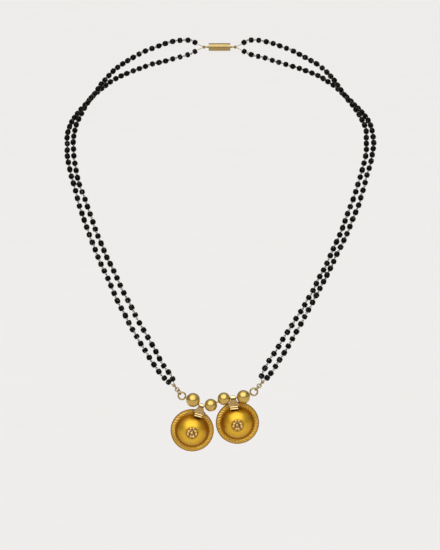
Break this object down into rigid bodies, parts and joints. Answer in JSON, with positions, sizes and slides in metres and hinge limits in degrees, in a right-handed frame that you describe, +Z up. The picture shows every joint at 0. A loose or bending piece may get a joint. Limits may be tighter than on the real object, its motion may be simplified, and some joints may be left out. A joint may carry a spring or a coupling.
{
  "type": "mangalsutra necklace",
  "caption": "Short mangalsutra: domed gold bowls on leaf bails and gold balls on a curved wire, hung by small chains from paired black bead strands that meet at a plain barrel clasp.",
  "frame": {"origin": "the point on the clasp's inner side that rests on the nape of the neck", "axes": "+Z up as worn, -Y forwards to the pendant, +X to the wearer's left"},
  "size_m": [0.1239, 0.111, 0.1507],
  "materials": {
    "satin_gold": "satin",
    "polished_gold": "polished",
    "black_glass": "glossy"
  },
  "bodies": {
    "necklace": {"pendant_wire": "polished_gold", "ball_1": "polished_gold", "ball_2": "polished_gold", "ball_3": "polished_gold", "ball_4": "polished_gold", "jump_ring_left": "polished_gold", "middle_link_left": "polished_gold", "end_link_left": "polished_gold", "jump_ring_right": "polished_gold", "middle_link_right": "polished_gold", "end_link_right": "polished_gold", "strand_left_outer": "black_glass", "strand_left_inner": "black_glass", "strand_right_outer": "black_glass", "strand_right_inner": "black_glass", "front_end_left_outer": "polished_gold", "front_end_left_inner": "polished_gold", "front_end_right_outer": "polished_gold", "front_end_right_inner": "polished_gold", "back_end_left_outer": "polished_gold", "back_end_left_inner": "polished_gold", "back_end_right_outer": "polished_gold", "back_end_right_inner": "polished_gold", "clasp": "polished_gold"},
    "left_bowl": {"vati_left": "satin_gold"},
    "right_bowl": {"vati_right": "satin_gold"}
  },
  "joints": [
    {"name": "left_bowl_swing", "type": "hinge", "parent": "necklace", "child": "left_bowl", "pos_m": [-0.00702, -0.104, -0.12826], "axis": [0.9588, 0, -0.284], "range_deg": [-25, 25]},
    {"name": "right_bowl_swing", "type": "hinge", "parent": "necklace", "child": "right_bowl", "pos_m": [0.00525, -0.104, -0.12516], "axis": [0.9951, 0, 0.0993], "range_deg": [-25, 25]}
  ]
}
